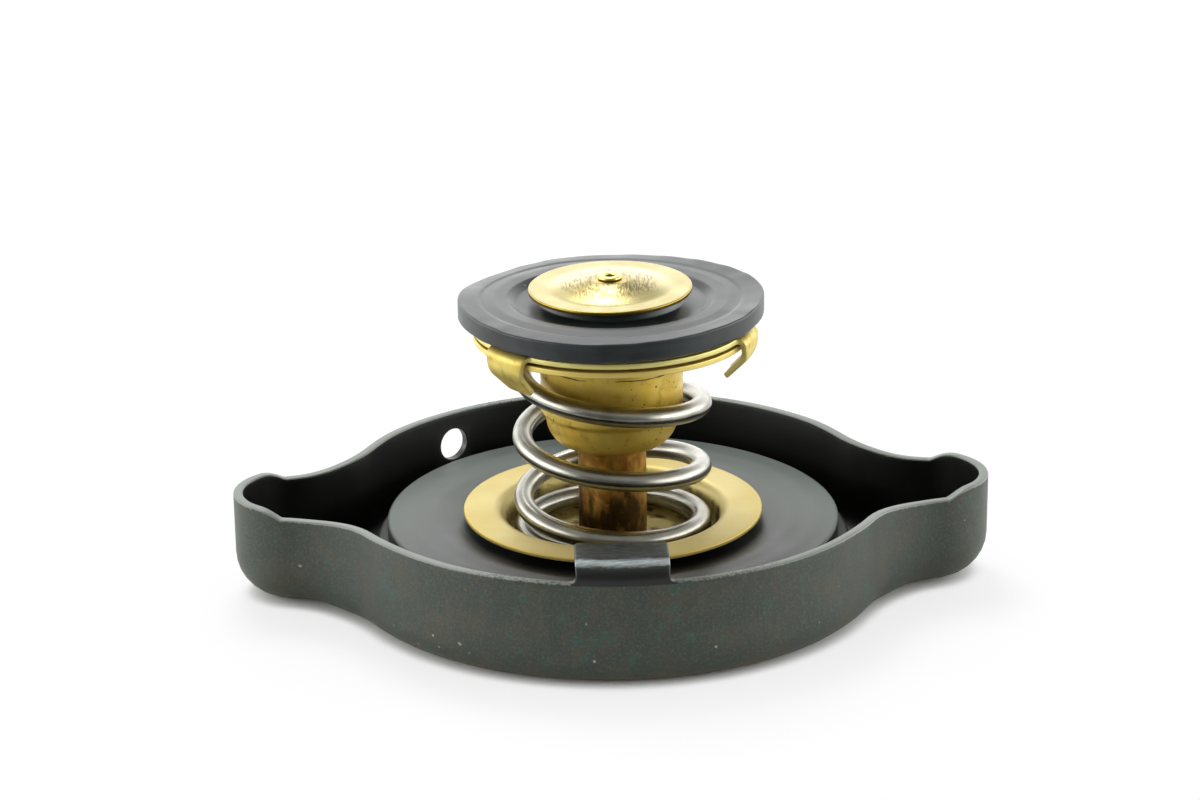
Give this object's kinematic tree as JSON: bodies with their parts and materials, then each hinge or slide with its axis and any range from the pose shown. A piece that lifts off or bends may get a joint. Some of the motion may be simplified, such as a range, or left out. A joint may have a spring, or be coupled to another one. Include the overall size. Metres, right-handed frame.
{
  "type": "radiator cap",
  "caption": "Radiator cap with ears, upside down: pressed shell with lock tabs, gasket, sprung brass pressure valve and vacuum valve.",
  "frame": {"origin": "middle of the bounding box's base: on the cap's axis, in the plane of the shell's outer face that the cap rests on", "axes": "+Z along the cap's axis from the outer face toward the vacuum disc, X along the two ears, Y through the two lock tabs"},
  "size_m": [0.0798, 0.0584, 0.0338],
  "materials": {
    "painted_shell": "satin black stove paint with scuffs and worn edges",
    "zinc_washer": "dull zinc plate",
    "gasket_rubber": "matt moulded rubber",
    "seal_rubber": "matt moulded rubber",
    "bright_brass": "bright rolled sheet brass",
    "plate_brass": "pressed sheet brass",
    "disc_brass": "bright sheet brass with brushed marks",
    "stem_brass": "bright drawn brass",
    "retainer_brass": "dull sheet brass",
    "dull_brass": "dull drawn brass with fine pores",
    "aged_brass": "brown tarnished brass with dark stains",
    "spring_steel": "bright drawn stainless wire",
    "fine_spring_steel": "bright drawn stainless wire"
  },
  "bodies": {
    "shell": {"cap_shell": "painted_shell"},
    "core": {"rivet_washer": "zinc_washer", "gasket": "gasket_rubber", "spring_cup": "bright_brass", "centre_post": "aged_brass", "main_spring": "spring_steel"},
    "pressure_valve": {"bell": "dull_brass", "claw_plate": "plate_brass", "pressure_seal": "seal_rubber", "vacuum_spring": "fine_spring_steel"},
    "vacuum_valve": {"vacuum_disc": "disc_brass", "vacuum_stem": "stem_brass", "spring_retainer": "retainer_brass"}
  },
  "joints": [
    {"name": "core_swivel", "type": "hinge", "parent": "shell", "child": "core", "pos_m": [0, 0, 0], "axis": [0, 0, 1], "continuous": true},
    {"name": "pressure_slide", "type": "slide", "parent": "core", "child": "pressure_valve", "axis": [0, 0, -1], "range_m": [0, 0.0065], "stiffness_N_per_m": 2040, "springref_m": -0.006, "deforming": ["main_spring"]},
    {"name": "vacuum_slide", "type": "slide", "parent": "pressure_valve", "child": "vacuum_valve", "axis": [0, 0, 1], "range_m": [0, 0.0014], "stiffness_N_per_m": 900, "springref_m": -0.0008, "deforming": ["vacuum_spring"]}
  ]
}
